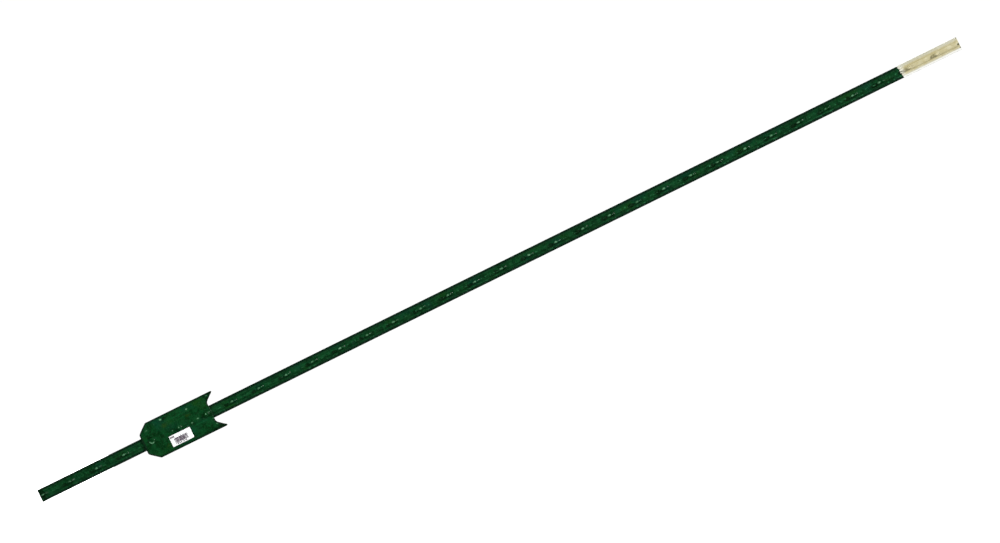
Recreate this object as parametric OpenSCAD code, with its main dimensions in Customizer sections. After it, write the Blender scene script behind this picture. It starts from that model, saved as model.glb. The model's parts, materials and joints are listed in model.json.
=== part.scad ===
// Studded steel T-post for wire fencing: a rolled T section with a row of studs down its face,
// a riveted anchor plate near its foot and a light painted top.
// The post stands upright along +Z. The studs face -Y, the web points to +Y.
// The origin is in the flange, on the centre line, at the bottom end.

/* [Post] */
// Length of the post
post_length = 2438.4; // [1500:0.1:3000]
// Depth of the section, from the stud tops to the web's edge
section_depth = 44.45; // [38:0.05:52]
// Width of the flange
flange_width = 31.8; // [28:0.1:40]
// Thickness of the flange at its two edges
flange_edge_thickness = 3; // [2.6:0.1:3.6]
// Thickness of the flange beside the web
flange_root_thickness = 4.4; // [4:0.1:6]
// Thickness of the web at the flange
web_root_thickness = 3.5; // [3:0.1:5]
// Thickness of the web at its outer edge
web_tip_thickness = 2.9; // [2.4:0.1:3]
// Width of the raised rib that the studs stand on, at its foot
rib_width = 11; // [10:0.1:16]
// Height of the raised rib
rib_height = 0.9; // [0.5:0.1:1.5]

/* [Studs] */
// Distance between one stud and the next
stud_pitch = 71.6; // [55:0.1:75]
// Height of the lowest stud's centre above the bottom end
first_stud_height = 11; // [10.8:0.1:40]
// Length of a stud along the post, at its base
stud_length = 21; // [14:0.1:21.6]
// Width of a stud across the post, at its base
stud_width = 9.5; // [7:0.1:11]
// Height of a stud above the rib
stud_height = 5.4; // [4:0.1:7]

/* [Painted top] */
// Length of the light painted top
tip_length = 152.4; // [60:0.1:300]
// Thickness of its coat of paint
tip_coat_thickness = 0.25; // [0.15:0.05:0.4]

/* [Anchor plate] */
// Stud positions from the foot up to the one that the lowest rivet takes
lowest_rivet_stud = 4; // [2:1:8]
// Width of the plate
plate_width = 92; // [86:0.5:110]
// Height of the plate's body, without the ears
plate_height = 179; // [176:0.5:220]
// Thickness of the plate
plate_thickness = 2.5; // [2:0.1:4]
// Width of the plate's bottom edge, between the two chamfers
plate_foot_width = 51; // [36:0.5:60]
// Height of the two pointed ears above the plate's body
ear_height = 21.5; // [12:0.5:30]
// Width of the strip along each side that is bent back
wing_width = 6.5; // [4:0.5:9]
// Angle that the side strips are bent back by
wing_angle = 25; // [0:1:40]

/* [Rivets] */
// Diameter of a rivet's head
rivet_head_diameter = 15; // [13:0.1:16]
// Height of a rivet's head
rivet_head_height = 2.8; // [2:0.1:3.2]
// Diameter of a rivet's shank
rivet_shank_diameter = 9.5; // [7:0.1:10]

/* [Label] */
// Width of the label, across the post
label_width = 27; // [15:0.5:29.5]
// Height of the label, along the post
label_height = 55.5; // [30:0.5:90]
// Thickness of the label
label_thickness = 0.3; // [0.2:0.05:0.5]

/* [Hidden] */

// The section, with y = 0 inside the flange
flange_front = -2;
rib_front = flange_front - rib_height;
stud_front = rib_front - stud_height;
web_tip = stud_front + section_depth;
flange_back = flange_front + flange_root_thickness;
edge_radius = 1;
root_fillet = 4;
web_edge_radius = 0.9;
rib_slope = 2.5;

// The studs
stud_count = floor((post_length - first_stud_height - stud_length / 2) / stud_pitch) + 1;
stud_end_slope = 6;
stud_top_width = 5.4;
stud_shoulder_length = 1.8;
stud_shoulder_drop = 1;
stud_root = 1.5;

// The anchor plate, whose back lies on the rib
plate_back = rib_front;
plate_front = plate_back - plate_thickness;
rivet_edge_distance = 21.6;
plate_bottom = stud_height_at(lowest_rivet_stud) - rivet_edge_distance;
chamfer_height = 24.6;
foot_easing = 6;
side_easing = 3;
ear_slope = 49;
ear_tip_width = 2.2;
notch_easing = 7;

// The rivets, which sit in blind holes in the bar
rivet_count = 3;
rivet_hole_depth = 5;
rivet_head_rim = 0.8;

// The label, beside the middle rivet
label_side_gap = 8.9;
label_drop = 4.5;
label_corner_radius = 1.5;

function stud_height_at(k) = first_stud_height + k * stud_pitch;
function rivet_index(k) = k - lowest_rivet_stud;
function holds_rivet(k) = rivet_index(k) >= 0 && rivet_index(k) < rivet_count;

// Points along a circular arc, by its centre, radius and two angles
function arc(x, y, r, from, to, steps) = [
  for (i = [0:steps])
    let (a = from + (to - from) * i / steps)
    [x + r * cos(a), y + r * sin(a)]
];

// A corner rounded off by a curve that leaves its two sides at an equal distance from it
function eased(before, corner, after, distance, steps = 6) =
  let (
    start = corner + distance * (before - corner) / norm(before - corner),
    end = corner + distance * (after - corner) / norm(after - corner)
  )
  [
    for (i = [0:steps])
      let (s = i / steps)
      (1 - s) * (1 - s) * start + 2 * s * (1 - s) * corner + s * s * end
  ];

// Adds the mirror image of a half outline, which runs from the front to the back
function both_sides(half) = concat(half, [
  for (i = [len(half) - 1:-1:0])
    [-half[i][0], half[i][1]]
]);

// Half of the T section, made larger all round by grow
function half_section(grow) =
  let (
    flange_half = flange_width / 2,
    edge_back = flange_front + flange_edge_thickness,
    web_half = web_root_thickness / 2,
    tip_half = web_tip_thickness / 2
  )
  concat(
    [
      [rib_width / 2 - rib_slope + grow, rib_front - grow],
      [rib_width / 2 + grow, flange_front - grow]
    ],
    arc(flange_half - edge_radius, flange_front + edge_radius, edge_radius + grow, -90, 0, 4),
    arc(flange_half - edge_radius, edge_back - edge_radius, edge_radius + grow, 0, 90, 4),
    arc(web_half + root_fillet, flange_back + root_fillet, root_fillet - grow, 270, 180, 6),
    arc(tip_half - web_edge_radius, web_tip - web_edge_radius, web_edge_radius + grow, 0, 90, 4)
  );

// The T section from one height to another
module t_section(bottom, top, grow = 0) {
  translate([0, 0, bottom])
    linear_extrude(top - bottom)
      polygon(both_sides(half_section(grow)));
}

// One stud: a side outline and a front outline, both extruded and intersected
module stud(grow = 0) {
  half_length = stud_length / 2 + grow;
  half_width = stud_width / 2 + grow;
  top_half_length = half_length - stud_end_slope;
  shoulder_half_length = top_half_length + stud_shoulder_length;
  top_half_width = stud_top_width / 2 + grow;
  root = rib_front + stud_root;
  top = stud_front - grow;
  intersection() {
    translate([-half_width, 0, 0])
      rotate([90, 0, 90])
        linear_extrude(2 * half_width)
          polygon([
            [root, -half_length],
            [rib_front, -half_length],
            [top + stud_shoulder_drop, -shoulder_half_length],
            [top, -top_half_length],
            [top, top_half_length],
            [top + stud_shoulder_drop, shoulder_half_length],
            [rib_front, half_length],
            [root, half_length]
          ]);
    translate([0, 0, -half_length])
      linear_extrude(2 * half_length)
        polygon([
          [-half_width, root],
          [-half_width, rib_front],
          [-top_half_width, top],
          [top_half_width, top],
          [half_width, rib_front],
          [half_width, root]
        ]);
  }
}

// The studs of the bar at or above a height, all but those that rivets take the place of
module stud_row(lowest = 0, grow = 0) {
  for (k = [0:stud_count - 1])
    if (stud_height_at(k) >= lowest && !holds_rivet(k))
      translate([0, 0, stud_height_at(k)])
        stud(grow);
}

// A round pin along Y, from its front end to its back end
module pin_along_y(diameter, front, back) {
  translate([0, back, 0])
    rotate([90, 0, 0])
      cylinder(d = diameter, h = back - front, $fn = 48);
}

// The hot-rolled bar, with its studs and the blind holes for the rivets
module t_post_bar() {
  color([0.07, 0.24, 0.13])
    difference() {
      union() {
        t_section(0, post_length);
        stud_row();
      }
      for (i = [0:rivet_count - 1])
        translate([0, 0, stud_height_at(lowest_rivet_stud + i)])
          pin_along_y(rivet_shank_diameter, rib_front - 1, rib_front + rivet_hole_depth);
    }
}

// The thin dipped coat round the top of the bar, open at the sheared end
module white_tip_coat() {
  tip_bottom = post_length - tip_length;
  color([0.86, 0.84, 0.7])
    difference() {
      union() {
        t_section(tip_bottom, post_length, tip_coat_thickness);
        intersection() {
          stud_row(tip_bottom - stud_length, tip_coat_thickness);
          translate([-flange_width, stud_front - 1, tip_bottom])
            cube([2 * flange_width, section_depth, tip_length]);
        }
      }
      t_section(tip_bottom - 1, post_length + 1);
      stud_row(tip_bottom - stud_length);
    }
}

// Half of the anchor plate's cross-section, with the side strip bent back
function half_plate_section() =
  let (
    bend = plate_width / 2 - wing_width,
    back = wing_width * tan(wing_angle),
    inset = plate_thickness * sin(wing_angle),
    lip = plate_thickness * cos(wing_angle)
  )
  [
    [bend, plate_front],
    [plate_width / 2, plate_front + back],
    [plate_width / 2 - inset, plate_front + back + lip],
    [bend - plate_thickness * tan(wing_angle / 2), plate_back]
  ];

// Half of the anchor plate's outline, from its foot to the notch between its ears
function half_plate_outline() =
  let (
    half = plate_width / 2,
    body_top = plate_bottom + plate_height,
    ear_tip = body_top + ear_height,
    foot = [plate_foot_width / 2, plate_bottom],
    side = [half, plate_bottom + chamfer_height],
    tip = [half - ear_tip_width, ear_tip],
    notch = [tip[0] - ear_height / tan(ear_slope), body_top]
  )
  concat(
    eased([0, plate_bottom], foot, side, foot_easing),
    eased(foot, side, [half, ear_tip], side_easing),
    [[half, ear_tip - ear_tip_width], tip],
    eased(tip, notch, [0, body_top], notch_easing)
  );

// The pressed anchor plate, with a round hole for each rivet
module anchor_plate() {
  color([0.06, 0.25, 0.13])
    difference() {
      intersection() {
        linear_extrude(plate_bottom + plate_height + ear_height + 1)
          polygon(both_sides(half_plate_section()));
        translate([0, plate_width / 2, 0])
          rotate([90, 0, 0])
            linear_extrude(plate_width)
              polygon(both_sides(half_plate_outline()));
      }
      for (i = [0:rivet_count - 1])
        translate([0, 0, stud_height_at(lowest_rivet_stud + i)])
          pin_along_y(rivet_shank_diameter, plate_front - 1, plate_back + 1);
    }
}

// One rivet: a low domed head on the plate and a shank down into the bar
module plate_rivet(index) {
  head_radius = rivet_head_diameter / 2;
  rise = rivet_head_height - rivet_head_rim;
  dome_radius = (head_radius * head_radius + rise * rise) / (2 * rise);
  dome_angle = asin(head_radius / dome_radius);
  color([0.1, 0.3, 0.17])
    translate([0, 0, stud_height_at(lowest_rivet_stud + index)]) {
      translate([0, plate_front, 0])
        rotate([90, 0, 0])
          rotate_extrude($fn = 48)
            polygon(concat(
              [[0, 0], [head_radius, 0]],
              arc(0, rivet_head_height - dome_radius, dome_radius, 90 - dome_angle, 90, 8)
            ));
      pin_along_y(rivet_shank_diameter, plate_front, rib_front + rivet_hole_depth);
    }
}

module rivet_lower() {
  plate_rivet(0);
}

module rivet_middle() {
  plate_rivet(1);
}

module rivet_upper() {
  plate_rivet(2);
}

// The label, stuck on the plate beside the middle rivet
module barcode_label() {
  r = label_corner_radius;
  bottom = stud_height_at(lowest_rivet_stud + 1) - label_drop - label_height / 2;
  left = label_side_gap;
  color([0.97, 0.97, 0.96])
    translate([left, plate_front, bottom])
      rotate([90, 0, 0])
        linear_extrude(label_thickness)
          polygon(concat(
            arc(r, r, r, 180, 270, 4),
            arc(label_width - r, r, r, 270, 360, 4),
            arc(label_width - r, label_height - r, r, 0, 90, 4),
            arc(r, label_height - r, r, 90, 180, 4)
          ));
}

t_post_bar();
white_tip_coat();
anchor_plate();
rivet_lower();
rivet_middle();
rivet_upper();
barcode_label();
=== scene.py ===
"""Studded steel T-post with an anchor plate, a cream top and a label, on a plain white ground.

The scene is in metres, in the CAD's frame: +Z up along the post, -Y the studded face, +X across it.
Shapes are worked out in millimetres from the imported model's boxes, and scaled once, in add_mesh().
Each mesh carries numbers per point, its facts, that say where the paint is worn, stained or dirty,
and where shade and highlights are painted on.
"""

import json
import math
import random
from collections import namedtuple

import bmesh
import bpy
import numpy as np
from mathutils import Matrix, Vector, noise


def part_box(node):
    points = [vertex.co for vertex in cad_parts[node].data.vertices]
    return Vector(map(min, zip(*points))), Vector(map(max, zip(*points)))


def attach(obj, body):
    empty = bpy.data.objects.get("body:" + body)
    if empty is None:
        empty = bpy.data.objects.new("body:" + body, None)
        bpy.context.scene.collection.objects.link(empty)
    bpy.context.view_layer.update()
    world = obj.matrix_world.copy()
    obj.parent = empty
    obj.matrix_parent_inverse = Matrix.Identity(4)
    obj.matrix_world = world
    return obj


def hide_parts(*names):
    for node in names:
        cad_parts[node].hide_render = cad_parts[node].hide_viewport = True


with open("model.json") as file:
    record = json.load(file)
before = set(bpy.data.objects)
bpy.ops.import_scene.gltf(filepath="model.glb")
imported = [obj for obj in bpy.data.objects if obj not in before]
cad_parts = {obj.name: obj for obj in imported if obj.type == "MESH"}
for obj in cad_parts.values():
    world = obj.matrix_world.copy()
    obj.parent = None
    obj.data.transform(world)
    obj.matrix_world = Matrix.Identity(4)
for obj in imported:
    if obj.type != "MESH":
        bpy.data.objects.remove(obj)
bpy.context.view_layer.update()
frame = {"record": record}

MM = 0.001


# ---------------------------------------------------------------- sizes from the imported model


def box_mm(node):
    """A node's lowest and highest corner in millimetres."""
    low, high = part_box(node)
    return np.array(low) / MM, np.array(high) / MM


def mount_mm(name):
    """A mount's position in millimetres."""
    mounts = {m["name"]: m for m in frame["record"]["mounts"]}
    return np.array(mounts[name]["pos_m"]) / MM


BAR_LOW, BAR_HIGH = box_mm("t_post_bar")
TIP_LOW, TIP_HIGH = box_mm("white_tip_coat")
PLATE_LOW, PLATE_HIGH = box_mm("anchor_plate")
LABEL_LOW, LABEL_HIGH = box_mm("barcode_label")
RIVET_NODES = ("rivet_lower", "rivet_middle", "rivet_upper")
RIVET_BOXES = [box_mm(node) for node in RIVET_NODES]
RIVET_HEIGHTS = [(low[2] + high[2]) / 2 for low, high in RIVET_BOXES]

LENGTH = BAR_HIGH[2]
FLANGE_HALF = BAR_HIGH[0]
STUD_FRONT = BAR_LOW[1]
WEB_TIP = BAR_HIGH[1]
RIB_FRONT = mount_mm("wire_face")[1]
PLATE_FRONT = LABEL_HIGH[1]
STUD_PITCH = RIVET_HEIGHTS[1] - RIVET_HEIGHTS[0]
FIRST_STUD = RIVET_HEIGHTS[0] % STUD_PITCH
COAT = TIP_HIGH[0] - FLANGE_HALF

# The section, where the boxes don't give it. FLANGE_FRONT is the face beside the rib.
FLANGE_FRONT = RIB_FRONT + 0.9
FLANGE_BACK_EDGE = FLANGE_FRONT + 3.0
FLANGE_BACK_ROOT = FLANGE_FRONT + 4.4
EDGE_RADIUS = 1.15
RIB_TOP_HALF = 3.1
RIB_HALF = 6.2
GROOVE_DEPTH = 0.3
WEB_ROOT_HALF = 1.75
WEB_TIP_HALF = 1.45
ROOT_FILLET = 4.0

# A stud's base
STUD_HALF_LENGTH = 10.5
STUD_HALF_WIDTH = 4.75
STUD_HEIGHT = RIB_FRONT - STUD_FRONT


# ---------------------------------------------------------------- small helpers


def smoothstep(a, b, x):
    """0 below a, 1 above b and a smooth rise between them, for numbers or arrays."""
    t = np.clip((np.asarray(x, float) - a) / (b - a), 0.0, 1.0)
    return t * t * (3.0 - 2.0 * t)


def wobble(points, size, seed):
    """Smooth noise from -1 to 1 at each point, with features about size millimetres long."""
    shift = Vector((seed * 17.3, seed * 5.1, seed * 9.7))
    return np.array([noise.noise(Vector(p) / size + shift) for p in points])


def add_mesh(name, points_mm, faces, material, smooth=True, attributes=None):
    """A mesh object from points in millimetres, with its material and its per-point attributes."""
    mesh = bpy.data.meshes.new(name)
    mesh.from_pydata((np.asarray(points_mm, float) * MM).tolist(), [], faces)
    mesh.update()
    mesh.polygons.foreach_set("use_smooth", [smooth] * len(mesh.polygons))
    for key, values in (attributes or {}).items():
        values = np.asarray(values, float)
        if values.ndim == 1:
            layer = mesh.attributes.new(key, "FLOAT", "POINT")
            layer.data.foreach_set("value", values)
        else:
            layer = mesh.attributes.new(key, "FLOAT_VECTOR", "POINT")
            layer.data.foreach_set("vector", values.ravel())
    mesh.materials.append(material)
    obj = bpy.data.objects.new(name, mesh)
    bpy.context.scene.collection.objects.link(obj)
    return obj


def tube_faces(rows, ring, flip=False):
    """Quads between neighbouring rings of a closed tube."""
    faces = []
    for i in range(rows - 1):
        for j in range(ring):
            k = (j + 1) % ring
            quad = (i * ring + j, i * ring + k, (i + 1) * ring + k, (i + 1) * ring + j)
            faces.append(quad[::-1] if flip else quad)
    return faces


def closed_sheet_faces(rows, columns):
    """Quads of a sheet with a front grid of points, then a back grid, joined round their rim."""
    count = rows * columns
    faces, back_faces = [], []
    for i in range(rows - 1):
        for j in range(columns - 1):
            a = i * columns + j
            quad = (a, a + 1, a + columns + 1, a + columns)
            faces.append(quad)
            back_faces.append(tuple(corner + count for corner in quad[::-1]))
    faces += back_faces
    rim = list(range(columns)) + [i * columns + columns - 1 for i in range(1, rows)]
    rim += [(rows - 1) * columns + j for j in range(columns - 2, -1, -1)]
    rim += [i * columns for i in range(rows - 2, 0, -1)]
    for a, b in zip(rim, rim[1:] + rim[:1]):
        faces.append((b, a, a + count, b + count))
    return faces


def stacked(*grids):
    """Coordinate grids as one list of points."""
    return np.stack(grids, axis=-1).reshape(-1, 3)


def round_edges(obj, width_mm, angle):
    """Rounds the edges that are sharper than angle degrees, so that they catch the light."""
    bevel = obj.modifiers.new("rounded_edges", "BEVEL")
    bevel.width = width_mm * MM
    bevel.segments = 2
    bevel.limit_method = "ANGLE"
    bevel.angle_limit = math.radians(angle)


def bell(x, centre, width):
    """1 at centre, falling smoothly to nothing a few widths away."""
    return np.exp(-(((x - centre) / width) ** 2))


def spots(x, z, marks):
    """Soft round marks on a face: each is (z, x, half length, half width, strength)."""
    out = np.zeros(np.broadcast(x, z).shape)
    for mark_z, mark_x, half_long, half_wide, strength in marks:
        far = ((x - mark_x) / half_wide) ** 2 + ((z - mark_z) / half_long) ** 2
        out = np.maximum(out, strength * np.exp(-far))
    return out


# ---------------------------------------------------------------- materials


class Graph:
    """A material's node tree, with short calls for adding and joining nodes."""

    def __init__(self, name):
        self.material = bpy.data.materials.new(name)
        self.material.use_nodes = True
        self.tree = self.material.node_tree
        self.tree.nodes.clear()

    def add(self, kind, inputs=None, **settings):
        """A node with some settings, and inputs that are values or other nodes' outputs."""
        node = self.tree.nodes.new(kind)
        for key, value in settings.items():
            setattr(node, key, value)
        for key, value in (inputs or {}).items():
            if isinstance(value, bpy.types.NodeSocket):
                self.tree.links.new(value, node.inputs[key])
            else:
                node.inputs[key].default_value = value
        return node

    def place(self):
        """The point on the object, in metres."""
        return self.add("ShaderNodeTexCoord").outputs["Object"]

    def stretched(self, scale):
        """The point on the object, scaled by x, y and z."""
        mapping = self.add("ShaderNodeMapping", {"Vector": self.place(), "Scale": scale})
        return mapping.outputs["Vector"]

    def attribute(self, name):
        """A per-point number that the mesh carries."""
        return self.add("ShaderNodeAttribute", attribute_name=name).outputs["Fac"]

    def noise(self, vector, scale, detail=3.0, roughness=0.55):
        """Smooth noise from 0 to 1."""
        inputs = {"Vector": vector, "Scale": scale, "Detail": detail, "Roughness": roughness}
        return self.add("ShaderNodeTexNoise", inputs).outputs["Fac"]

    def ramp(self, value, low, high, to_low=0.0, to_high=1.0):
        """value mapped smoothly from low..high to to_low..to_high."""
        inputs = {
            "Value": value,
            "From Min": low,
            "From Max": high,
            "To Min": to_low,
            "To Max": to_high,
        }
        node = self.add("ShaderNodeMapRange", inputs, interpolation_type="SMOOTHSTEP")
        return node.outputs["Result"]

    def math(self, operation, a, b=0.0):
        """A sum, product or other operation on two numbers."""
        node = self.add("ShaderNodeMath", {0: a, 1: b}, operation=operation)
        return node.outputs["Value"]

    def mix(self, factor, a, b):
        """A colour between a and b."""
        node = self.add("ShaderNodeMix", data_type="RGBA")
        for socket, value in zip((node.inputs[0], node.inputs[6], node.inputs[7]), (factor, a, b)):
            if isinstance(value, bpy.types.NodeSocket):
                self.tree.links.new(value, socket)
            else:
                socket.default_value = value
        return node.outputs[2]

    def tint(self, colour, amount, most, paint):
        """colour with a paint over it, as strong as most where amount is 1."""
        return self.mix(self.math("MULTIPLY", amount, most), colour, paint)

    def ragged(self, name, torn, low, high):
        """An attribute with its edges torn by noise, mapped smoothly from low..high to 0..1."""
        spread = self.math("MULTIPLY", self.math("SUBTRACT", torn, 0.5), 1.1)
        return self.ramp(self.math("ADD", self.attribute(name), spread), low, high)

    def chance(self, name, weight, noise_scale):
        """Noise that an attribute raises, so that rare marks come where the attribute is high."""
        raised = self.math("MULTIPLY", self.attribute(name), weight)
        return self.math("ADD", raised, self.noise(self.place(), noise_scale, 3.0, 0.6))

    def bump(self, height, strength, distance_mm, below=None):
        """A bumped normal, on top of another if below is given."""
        inputs = {"Height": height, "Strength": strength, "Distance": distance_mm * MM}
        if below is not None:
            inputs["Normal"] = below
        return self.add("ShaderNodeBump", inputs).outputs["Normal"]

    def finish(self, **inputs):
        """The surface shader, and the finished material."""
        named = {key.replace("_", " "): value for key, value in inputs.items()}
        shader = self.add("ShaderNodeBsdfPrincipled", named)
        output = self.add("ShaderNodeOutputMaterial")
        self.tree.links.new(shader.outputs[0], output.inputs["Surface"])
        return self.material


def rgb(r, g, b):
    """A linear colour with full opacity."""
    return (r, g, b, 1.0)


def green_enamel(name, deep, mid, light, edge_shade_colour, gloss, shine):
    """Dark green dipped enamel over hot-rolled steel: mottled and streaked, with painted shade on
    edges.

    deep, mid and light are the mottle's colours, the fourth colour is the painted shade on edges,
    gloss is the least roughness and shine the strength of reflections.
    """
    g = Graph(name)
    mottle = g.noise(g.place(), 95.0, 4.0, 0.62)
    patches = g.noise(g.place(), 23.0, 2.0, 0.5)
    warm = g.noise(g.stretched((31.0, 31.0, 17.0)), 1.0, 2.0, 0.5)
    streaks = g.noise(g.stretched((260.0, 260.0, 9.0)), 1.0, 3.0, 0.6)
    speckle = g.noise(g.place(), 420.0, 2.0, 0.5)
    torn = g.noise(g.place(), 300.0, 3.0, 0.6)
    blue_green, yellow_green = rgb(0.0012, 0.040, 0.022), rgb(0.0065, 0.052, 0.004)

    colour = g.mix(g.ramp(mottle, 0.38, 0.58), deep, mid)
    colour = g.mix(g.ramp(streaks, 0.52, 0.78, 0.0, 0.6), colour, light)
    colour = g.mix(g.ramp(patches, 0.5, 0.72, 0.0, 0.6), colour, blue_green)
    colour = g.mix(g.ramp(warm, 0.54, 0.74, 0.0, 0.6), colour, yellow_green)
    colour = g.mix(g.ramp(speckle, 0.58, 0.72, 0.0, 0.8), colour, light)

    # Painted shade: darker bands on the edges, and darker grooves beside the rib
    thin = g.math("MULTIPLY", g.attribute("edge"), g.ramp(mottle, 0.2, 0.6, 0.75, 1.0))
    colour = g.tint(colour, thin, 0.88, edge_shade_colour)
    colour = g.tint(colour, g.attribute("groove"), 0.6, rgb(0.001, 0.02, 0.004))

    # Dark marks that are dirt and painted shadow, brown stains, and pale marks that are rubbed paint
    # and painted highlights
    dirt_and_shade = g.ragged("dirt_and_shade", torn, 0.25, 0.7)
    colour = g.tint(colour, dirt_and_shade, 0.85, rgb(0.0004, 0.0095, 0.0016))
    colour = g.tint(colour, g.ragged("stain", torn, 0.25, 0.8), 0.7, rgb(0.013, 0.042, 0.004))
    colour = g.tint(colour, g.ragged("rub", torn, 0.2, 1.0), 0.9, rgb(0.13, 0.32, 0.17))

    # Painted highlight: a broken pale line along the rib's crest, and a painted reflection beside
    # the flange's +X edge
    dabs = g.noise(g.stretched((300.0, 300.0, 150.0)), 1.0, 2.0, 0.5)
    dabs = g.math("MULTIPLY", g.ramp(dabs, 0.56, 0.68, 0.0, 0.55), g.attribute("crest_highlight"))
    colour = g.mix(dabs, colour, rgb(0.035, 0.19, 0.075))

    # Small chips down to rusty steel where the post gets knocked
    chips = g.ramp(g.chance("wear", 0.3, 330.0), 0.87, 0.9)
    steel = g.mix(g.ramp(speckle, 0.4, 0.6), rgb(0.05, 0.045, 0.04), rgb(0.09, 0.045, 0.022))
    colour = g.mix(chips, colour, steel)

    # The bumps are calm where the mesh says that a face isn't the front, so that side light
    # doesn't make them glitter
    face = g.attribute("face")
    roughness = g.ramp(mottle, 0.25, 0.75, gloss, gloss + 0.12)
    roughness = g.math("ADD", roughness, g.math("MULTIPLY", chips, 0.3))
    rolled = g.noise(g.place(), 105.0, 4.0, 0.6)
    normal = g.bump(rolled, g.ramp(face, 0.0, 1.0, 0.12, 0.95), 2.0)
    normal = g.bump(speckle, g.ramp(face, 0.0, 1.0, 0.1, 0.35), 0.15, normal)
    normal = g.bump(g.math("SUBTRACT", 1.0, chips), 0.6, 0.12, normal)
    return g.finish(Base_Color=colour, Roughness=roughness, Normal=normal, Specular_IOR_Level=shine)


def cream_paint():
    """The cream dip coat: yellower where it is thick, with worn places that show dark steel."""
    g = Graph("cream_paint")
    mottle = g.noise(g.place(), 70.0, 3.0, 0.6)
    streaks = g.noise(g.stretched((230.0, 230.0, 10.0)), 1.0, 3.0, 0.6)
    speckle = g.noise(g.place(), 380.0, 3.0, 0.6)
    torn = g.noise(g.place(), 260.0, 3.0, 0.6)
    colour = g.mix(g.ramp(mottle, 0.35, 0.68), rgb(0.47, 0.42, 0.23), rgb(0.56, 0.52, 0.33))
    colour = g.mix(g.ramp(streaks, 0.5, 0.75, 0.0, 0.7), colour, rgb(0.60, 0.575, 0.44))
    # On the coat, edge, groove and the stud marks are painted shade: darker edges, grooves and
    # studs. pale is a painted highlight on the +X edge's front
    for fact, most, paint in (
        ("fresh", 0.8, rgb(0.74, 0.74, 0.66)),
        ("edge", 0.6, rgb(0.47, 0.47, 0.39)),
        ("groove", 0.6, rgb(0.34, 0.29, 0.14)),
        ("pale", 0.8, rgb(0.98, 0.98, 0.96)),
        ("rub", 0.8, rgb(0.17, 0.15, 0.055)),
    ):
        colour = g.tint(colour, g.attribute(fact), most, paint)
    bare = g.ramp(g.chance("wear", 0.42, 240.0), 0.88, 0.94)
    colour = g.mix(bare, colour, rgb(0.06, 0.06, 0.03))
    # Dark marks: dirt at the coat's lower edge and top end, and painted shadows at the studs
    dirt_and_shade = g.ragged("dirt_and_shade", torn, 0.25, 0.75)
    colour = g.tint(colour, dirt_and_shade, 0.9, rgb(0.075, 0.070, 0.022))
    roughness = g.ramp(mottle, 0.3, 0.7, 0.38, 0.55)
    normal = g.bump(g.noise(g.place(), 130.0, 4.0, 0.6), 0.4, 0.5)
    normal = g.bump(speckle, 0.3, 0.12, normal)
    return g.finish(Base_Color=colour, Roughness=roughness, Normal=normal)


def sheared_steel():
    """The sheared ends of the bar: dark steel with tear lines and a little rust."""
    g = Graph("sheared_steel")
    tear = g.noise(g.stretched((900.0, 120.0, 300.0)), 1.0, 4.0, 0.6)
    rust = g.noise(g.place(), 160.0, 4.0, 0.6)
    colour = g.mix(g.ramp(tear, 0.3, 0.7), rgb(0.03, 0.03, 0.03), rgb(0.12, 0.115, 0.105))
    colour = g.mix(g.ramp(rust, 0.5, 0.68, 0.0, 0.8), colour, rgb(0.12, 0.05, 0.022))
    normal = g.bump(tear, 0.7, 0.3)
    roughness = g.ramp(rust, 0.3, 0.7, 0.45, 0.8)
    return g.finish(Base_Color=colour, Roughness=roughness, Metallic=0.6, Normal=normal)


# The label's printing, in millimetres from its lower left corner when it is read sideways:
# low and high along the label, then low and high across it
CODE_PATCH = (9.3, 44.0, 9.0, 21.5)
DIGITS_PATCH = (10.0, 38.0, 22.1, 25.2)
HEADER_PATCH = (22.0, 33.0, 6.6, 7.8)
WORDS_PATCH = (1.4, 12.8, 2.4, 7.1)
BAR_STEP = 1.18
DIGIT_STEP = 1.1
LETTER_STEP = 0.9
LINE_STEP = 1.6


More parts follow.
